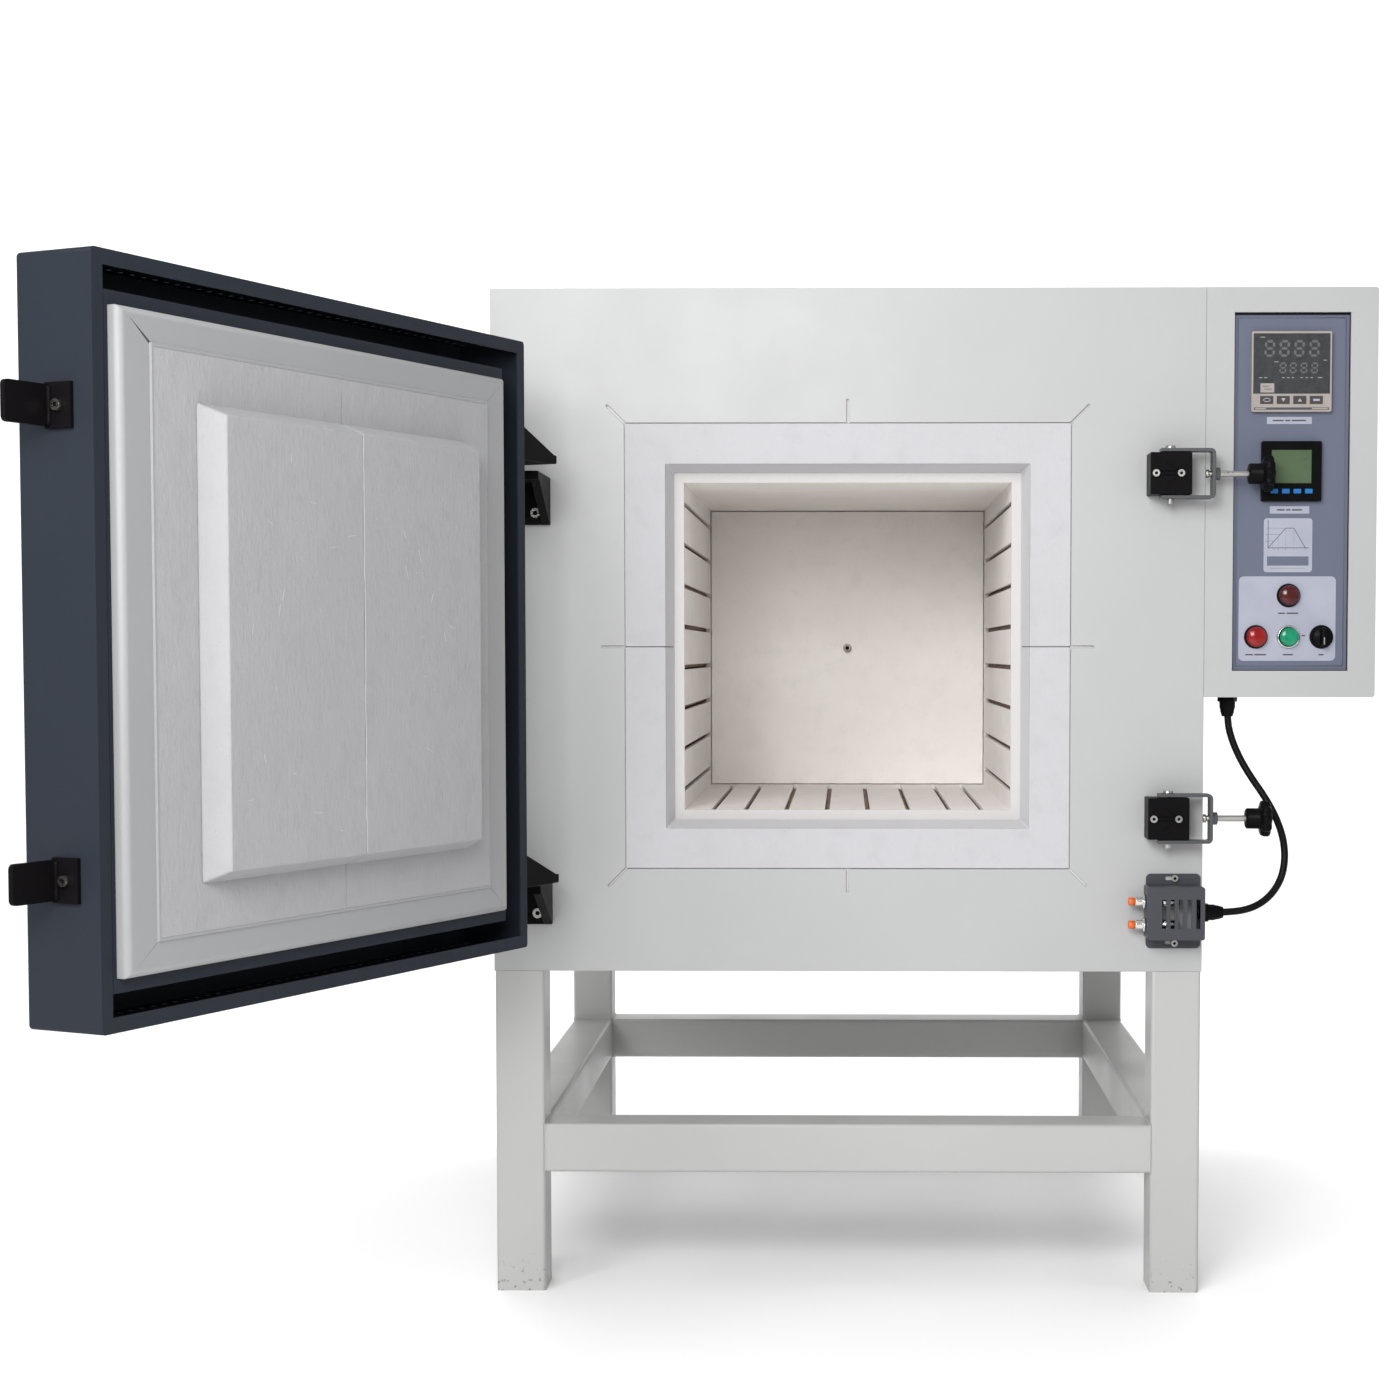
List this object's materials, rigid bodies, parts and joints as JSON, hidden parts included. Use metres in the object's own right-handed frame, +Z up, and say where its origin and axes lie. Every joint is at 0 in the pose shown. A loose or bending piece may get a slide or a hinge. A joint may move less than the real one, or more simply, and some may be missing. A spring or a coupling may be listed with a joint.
{
  "type": "front-loading pottery kiln",
  "caption": "Front-loading electric box kiln on a tube stand, with hinged plug door, clamp latches, grooved heater walls and a side control box.",
  "frame": {"origin": "centre of the chamber mouth, in the plane of the case's front", "axes": "+X towards the control box, +Y into the kiln, +Z up"},
  "size_m": [1.3611, 1.8076, 1.221],
  "materials": {
    "white_enamel": "satin",
    "slate_enamel": "satin",
    "tray_enamel": "matte",
    "panel_enamel": "satin",
    "fibre_board": "matte",
    "fibre_blanket": "matte",
    "heater_wire": "matte",
    "terminal_brass": "satin",
    "sheath_ceramic": "matte",
    "label_card": "satin",
    "beige_plastic": "satin",
    "dark_window": "gloss",
    "dark_key": "matte",
    "black_plastic": "satin",
    "lcd_green": "gloss",
    "blue_key": "matte",
    "red_lens": "gloss",
    "bright_metal": "polished",
    "green_lens": "gloss",
    "cable_rubber": "matte",
    "black_enamel": "satin",
    "strap_steel": "satin",
    "zinc_steel": "satin"
  },
  "bodies": {
    "kiln": {"backing_insulation": "fibre_blanket", "cable_glands": "black_plastic", "casing_back_panel": "white_enamel", "casing_bottom_panel": "white_enamel", "casing_front_plate": "white_enamel", "casing_screws": "zinc_steel", "casing_wrap": "white_enamel", "ceiling_board": "fibre_board", "control_box_shell": "white_enamel", "control_panel_plate": "panel_enamel", "controller_housing": "beige_plastic", "controller_window": "dark_window", "element_terminals": "terminal_brass", "floor_board": "fibre_board", "heating_elements": "heater_wire", "hinge_body_brackets": "black_enamel", "hinge_pins": "strap_steel", "indicator_lamps": "red_lens", "latch_blocks": "black_enamel", "meter_housing": "black_plastic", "meter_window": "lcd_green", "mouth_collar": "fibre_board", "panel_labels": "label_card", "power_relays": "black_plastic", "proximity_sensors": "bright_metal", "rear_board": "fibre_board", "rear_terminal_cover": "white_enamel", "sensor_cable": "cable_rubber", "side_wall_boards": "fibre_board", "stand_legs": "white_enamel", "stand_rails": "white_enamel", "switch_bezels": "bright_metal", "switch_cover": "slate_enamel", "thermocouple": "sheath_ceramic"},
    "door": {"door_board": "fibre_board", "door_hinge_brackets": "black_enamel", "door_hooks": "black_enamel", "door_insulation": "fibre_blanket", "door_plug": "fibre_board", "door_screws": "zinc_steel", "door_shell": "slate_enamel", "door_tray": "tray_enamel"},
    "start_button": {"start_button_cap": "green_lens"},
    "selector": {"selector_knob": "black_plastic"},
    "upper_bail": {"latch_upper_bail": "strap_steel"},
    "upper_pad": {"latch_upper_pad": "zinc_steel"},
    "upper_handle": {"latch_upper_screw": "zinc_steel", "latch_upper_knob": "black_plastic"},
    "lower_bail": {"latch_lower_bail": "strap_steel"},
    "lower_pad": {"latch_lower_pad": "zinc_steel"},
    "lower_handle": {"latch_lower_screw": "zinc_steel", "latch_lower_knob": "black_plastic"},
    "controller_key_1_body": {"controller_key_1": "dark_key"},
    "controller_key_2_body": {"controller_key_2": "dark_key"},
    "controller_key_3_body": {"controller_key_3": "dark_key"},
    "controller_key_4_body": {"controller_key_4": "dark_key"},
    "meter_key_1_body": {"meter_key_1": "blue_key"},
    "meter_key_2_body": {"meter_key_2": "blue_key"},
    "meter_key_3_body": {"meter_key_3": "blue_key"},
    "meter_key_4_body": {"meter_key_4": "blue_key"}
  },
  "joints": [
    {"name": "door_swing", "type": "hinge", "parent": "kiln", "child": "door", "pos_m": [-0.4187, -0.1078, 0], "axis": [0, 0, 1], "range_deg": [-55.7, 114.3]},
    {"name": "latch_upper_swing", "type": "hinge", "parent": "kiln", "child": "upper_bail", "pos_m": [0.385, -0.026, 0.206], "axis": [0, 0, 1], "range_deg": [-100, 0]},
    {"name": "latch_upper_press", "type": "slide", "parent": "upper_bail", "child": "upper_pad", "axis": [-1, 0, 0], "range_m": [-0.003, 0.0024]},
    {"name": "latch_upper_turn", "type": "hinge", "parent": "upper_pad", "child": "upper_handle", "pos_m": [0.44, -0.026, 0.206], "axis": [-1, 0, 0], "range_deg": [-864.5, 691.7]},
    {"name": "latch_lower_swing", "type": "hinge", "parent": "kiln", "child": "lower_bail", "pos_m": [0.385, -0.026, -0.206], "axis": [0, 0, 1], "range_deg": [-100, 0]},
    {"name": "latch_lower_press", "type": "slide", "parent": "lower_bail", "child": "lower_pad", "axis": [-1, 0, 0], "range_m": [-0.003, 0.0024]},
    {"name": "latch_lower_turn", "type": "hinge", "parent": "lower_pad", "child": "lower_handle", "pos_m": [0.44, -0.026, -0.206], "axis": [-1, 0, 0], "range_deg": [-864.5, 691.7]},
    {"name": "start_press", "type": "slide", "parent": "kiln", "child": "start_button", "axis": [0, 1, 0], "range_m": [0, 0.003], "stiffness_N_per_m": 500},
    {"name": "selector_turn", "type": "hinge", "parent": "kiln", "child": "selector", "pos_m": [0.573, 0, 0.012], "axis": [0, 1, 0], "range_deg": [0, 90]},
    {"name": "controller_key_1_press", "type": "slide", "parent": "kiln", "child": "controller_key_1_body", "axis": [0, 1, 0], "range_m": [0, 0.0005], "stiffness_N_per_m": 800},
    {"name": "controller_key_2_press", "type": "slide", "parent": "kiln", "child": "controller_key_2_body", "axis": [0, 1, 0], "range_m": [0, 0.0005], "stiffness_N_per_m": 800},
    {"name": "controller_key_3_press", "type": "slide", "parent": "kiln", "child": "controller_key_3_body", "axis": [0, 1, 0], "range_m": [0, 0.0005], "stiffness_N_per_m": 800},
    {"name": "controller_key_4_press", "type": "slide", "parent": "kiln", "child": "controller_key_4_body", "axis": [0, 1, 0], "range_m": [0, 0.0005], "stiffness_N_per_m": 800},
    {"name": "meter_key_1_press", "type": "slide", "parent": "kiln", "child": "meter_key_1_body", "axis": [0, 1, 0], "range_m": [0, 0.0005], "stiffness_N_per_m": 800},
    {"name": "meter_key_2_press", "type": "slide", "parent": "kiln", "child": "meter_key_2_body", "axis": [0, 1, 0], "range_m": [0, 0.0005], "stiffness_N_per_m": 800},
    {"name": "meter_key_3_press", "type": "slide", "parent": "kiln", "child": "meter_key_3_body", "axis": [0, 1, 0], "range_m": [0, 0.0005], "stiffness_N_per_m": 800},
    {"name": "meter_key_4_press", "type": "slide", "parent": "kiln", "child": "meter_key_4_body", "axis": [0, 1, 0], "range_m": [0, 0.0005], "stiffness_N_per_m": 800}
  ],
  "couplings": [
    {"joint": "latch_upper_turn", "follows": "latch_upper_press", "rad_per_m": 5026.5},
    {"joint": "latch_lower_turn", "follows": "latch_lower_press", "rad_per_m": 5026.5}
  ]
}
